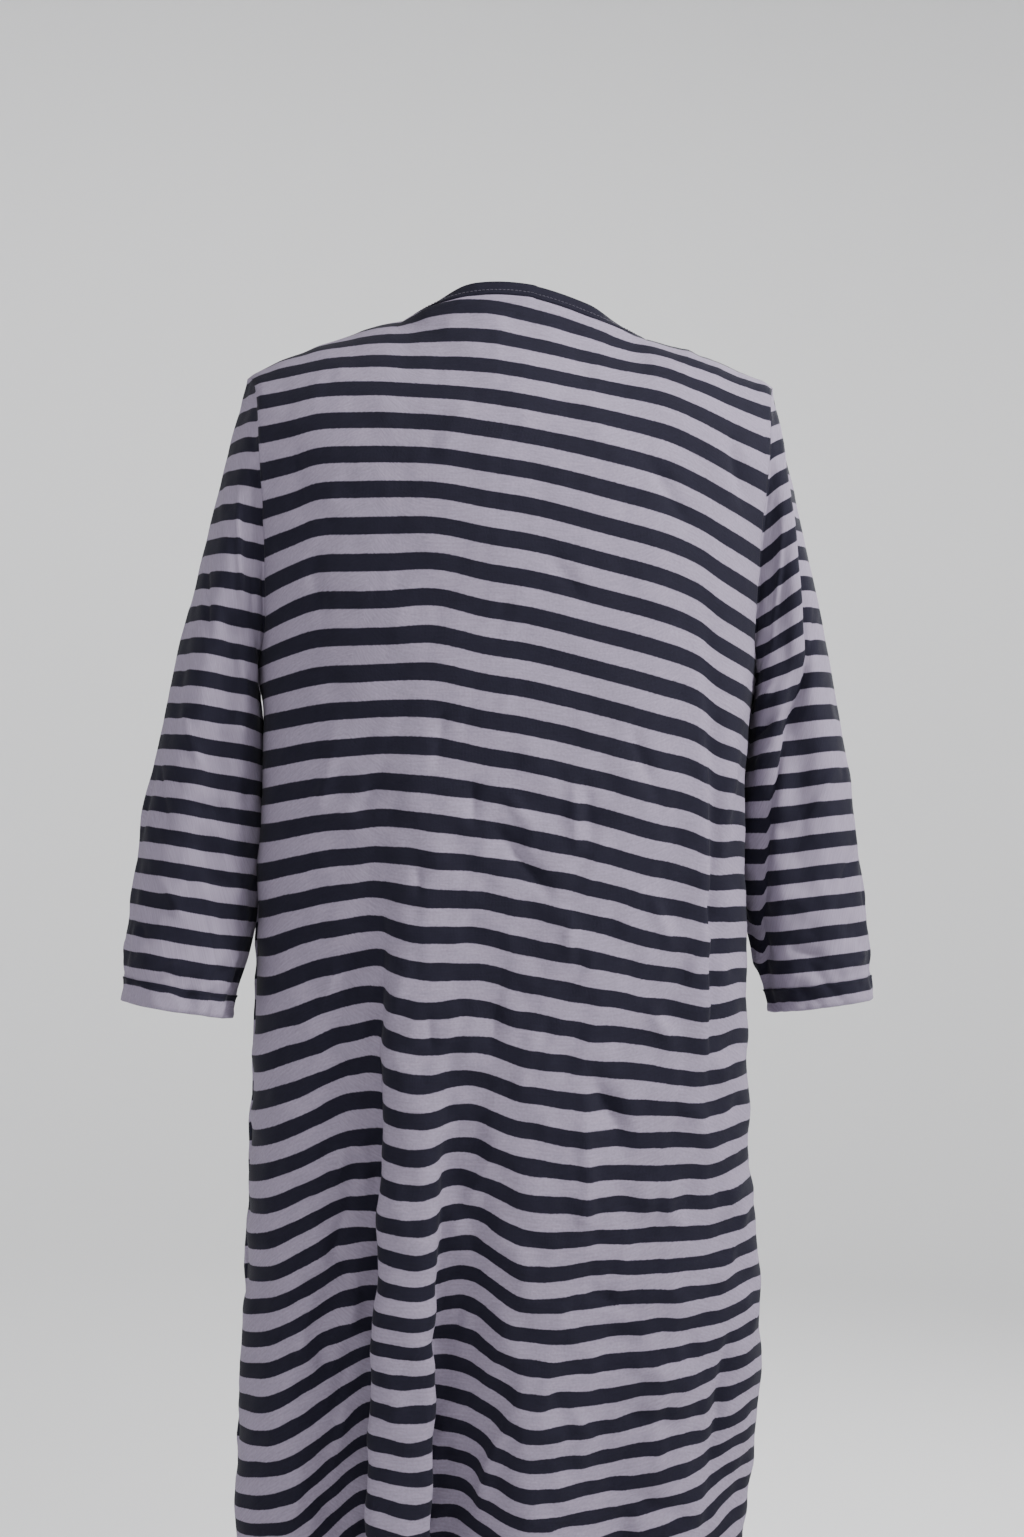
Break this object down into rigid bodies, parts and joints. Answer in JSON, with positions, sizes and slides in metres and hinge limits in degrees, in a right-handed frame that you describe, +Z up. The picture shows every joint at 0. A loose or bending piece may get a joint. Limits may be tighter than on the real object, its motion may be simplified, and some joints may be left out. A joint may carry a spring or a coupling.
{
  "type": "tunic dress",
  "caption": "Loose striped jersey tunic dress, hollow as worn, with a bound round neck, set-in three-quarter sleeves and a hem above the knee.",
  "frame": {"origin": "midway between the shoulders, on the line of the shoulder seams, where the wearer holds the dress up", "axes": "+Z up, the wearer faces -Y, the wearer's left is +X"},
  "size_m": [0.5854, 0.2275, 0.9995],
  "materials": {
    "striped_jersey": "matt cotton jersey in even lavender grey and navy stripes",
    "dark_jersey": "matt navy cotton jersey"
  },
  "bodies": {
    "root": {"back_panel": "striped_jersey", "front_panel": "striped_jersey", "left_sleeve": "striped_jersey", "right_sleeve": "striped_jersey", "neck_binding": "dark_jersey"}
  },
  "joints": []
}
